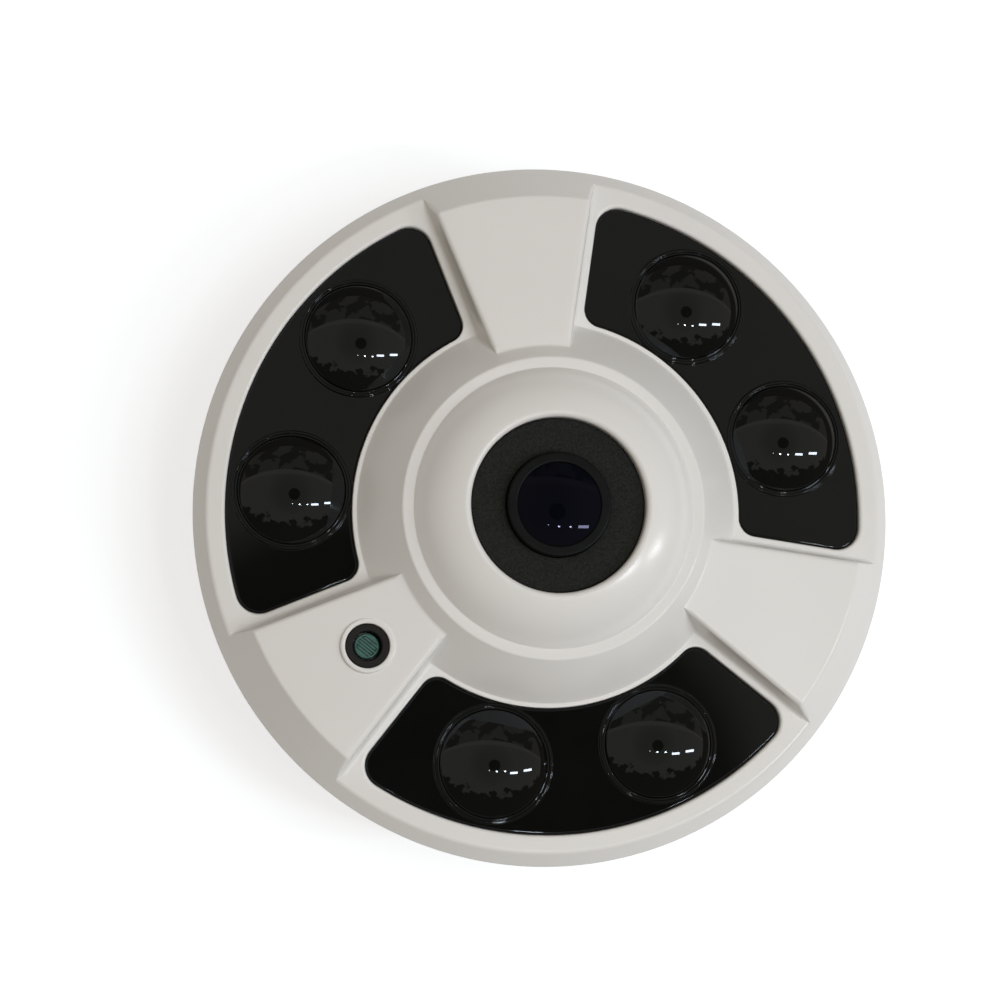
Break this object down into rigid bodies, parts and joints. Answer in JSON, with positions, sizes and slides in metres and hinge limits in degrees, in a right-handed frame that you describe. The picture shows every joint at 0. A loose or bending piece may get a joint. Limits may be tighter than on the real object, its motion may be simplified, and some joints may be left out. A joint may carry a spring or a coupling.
{
  "type": "fisheye ceiling camera",
  "caption": "Round ceiling camera: domed lens on a raised nose, dark infrared windows with domes between raised panels, twist-lock mounting plate.",
  "frame": {"origin": "middle of the mounting plate's back, on the ceiling plane", "axes": "+Z is the way the camera looks, away from the ceiling; +Y points to the raised panel opposite the lower window"},
  "size_m": [0.1449, 0.145, 0.0515],
  "materials": {
    "cover_white": "satin white moulded plastic, soft rounded edges",
    "shell_white": "satin white paint on a casting",
    "window_black": "polished infrared-pass plastic, black to the eye",
    "seal_black": "dull black rubber",
    "foam_black": "dull closed-cell foam with fine pores",
    "sleeve_black": "dull black plastic",
    "cell_teal": "green-blue cell with a folded dark track under clear resin",
    "barrel_black": "black anodised metal",
    "lens_glass": "coated glass, dark with a violet-blue reflection",
    "inner_glass": "clear coated glass",
    "filter_red": "pink-red infrared cut coating",
    "plate_steel": "zinc-plated pressed steel",
    "screw_steel": "nickel-plated steel",
    "brass": "turned brass",
    "aluminium": "aluminium with white solder mask",
    "board_green": "green solder mask",
    "chip_black": "moulded black resin",
    "pad_grey": "soft grey-blue pad",
    "plastic_grey": "dark glass-filled plastic",
    "plastic_ivory": "ivory nylon",
    "lamp_ceramic": "white ceramic base under a clear yellowish bead",
    "magnet_grey": "sintered magnet",
    "copper": "enamelled copper winding",
    "capacitor_can": "sleeved aluminium can",
    "imager": "sensor package under cover glass"
  },
  "bodies": {
    "ceiling_plate": {"mounting_plate": "plate_steel"},
    "camera_body": {"rear_shell": "shell_white", "bayonet_studs": "screw_steel", "cable_grommet": "seal_black", "locking_screw": "screw_steel", "body_seal": "seal_black", "cover_screws": "screw_steel", "front_cover": "cover_white", "ir_window_1": "window_black", "ir_window_2": "window_black", "ir_window_3": "window_black", "window_seal_1": "seal_black", "window_seal_2": "seal_black", "window_seal_3": "seal_black", "lamp_board": "aluminium", "lamp_1": "lamp_ceramic", "lamp_2": "lamp_ceramic", "lamp_3": "lamp_ceramic", "lamp_4": "lamp_ceramic", "lamp_5": "lamp_ceramic", "lamp_6": "lamp_ceramic", "lamp_board_screws": "screw_steel", "light_sensor": "cell_teal", "light_sensor_sleeve": "sleeve_black", "lens_foam_ring": "foam_black", "lens_barrel": "barrel_black", "front_glass": "lens_glass", "middle_glass": "inner_glass", "rear_glass": "inner_glass", "rear_glass_ring": "barrel_black", "lens_lock_ring": "aluminium", "lens_holder": "plastic_grey", "holder_screws": "screw_steel", "filter_unit_base": "plastic_grey", "rotor_axle": "screw_steel", "yoke": "magnet_grey", "coil": "copper", "image_sensor": "imager", "sensor_board": "board_green", "sensor_board_spacers": "brass", "sensor_board_screws": "screw_steel", "main_board": "board_green", "main_board_spacers": "brass", "main_board_screws": "screw_steel", "processor": "chip_black", "thermal_pad": "pad_grey", "memory_chips": "chip_black", "network_transformer": "chip_black", "capacitors": "capacitor_can", "cable_sockets": "plastic_ivory"},
    "filter_slide": {"filter_slide": "plastic_grey", "ir_cut_glass": "filter_red", "clear_glass": "inner_glass"},
    "rotor": {"rotor_magnet": "magnet_grey", "rotor_arm": "plastic_ivory"}
  },
  "joints": [
    {"name": "twist_lock", "type": "hinge", "parent": "ceiling_plate", "child": "camera_body", "pos_m": [0, 0, 0.007], "axis": [0, 0, 1], "range_deg": [0, 18]},
    {"name": "filter_rotor", "type": "hinge", "parent": "camera_body", "child": "rotor", "pos_m": [0, 0.0146, 0.026], "axis": [0, 0, 1], "range_deg": [0, 60]},
    {"name": "filter_travel", "type": "slide", "parent": "camera_body", "child": "filter_slide", "axis": [1, 0, 0], "range_m": [0, 0.008]}
  ],
  "couplings": [
    {"joint": "filter_rotor", "follows": "filter_travel", "rad_per_m": 130.9}
  ]
}
